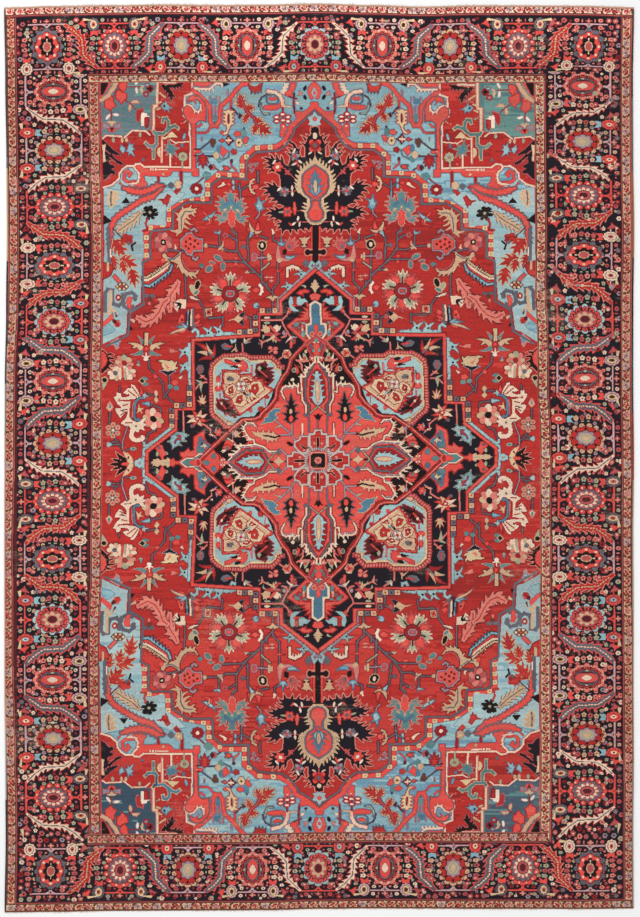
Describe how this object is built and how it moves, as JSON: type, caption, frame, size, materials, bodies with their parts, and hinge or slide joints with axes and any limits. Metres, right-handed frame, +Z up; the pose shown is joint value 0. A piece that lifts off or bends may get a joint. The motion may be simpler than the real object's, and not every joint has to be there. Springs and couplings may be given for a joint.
{
  "type": "persian rug",
  "caption": "Room-size hand-knotted wool carpet lying flat, with overcast side cords and narrow end bands that carry a short worn fringe.",
  "frame": {"origin": "centre of the rug's outline, on the floor it lies on", "axes": "+X across the rug, +Y along its length towards its top end, +Z up out of the pile"},
  "size_m": [3.05, 4.4198, 0.01],
  "materials": {
    "knotted_wool": "cut wool pile, madder red ground with an indigo medallion and border",
    "overcast_wool": "dark brown wool wrapped round the edge warps",
    "band_cotton": "flat-woven end band, pinkish brown, with undyed cotton warp ends"
  },
  "bodies": {
    "root": {"pile_carpet": "knotted_wool", "side_cord_left": "overcast_wool", "side_cord_right": "overcast_wool", "end_band_top": "band_cotton", "end_band_bottom": "band_cotton"}
  },
  "joints": []
}
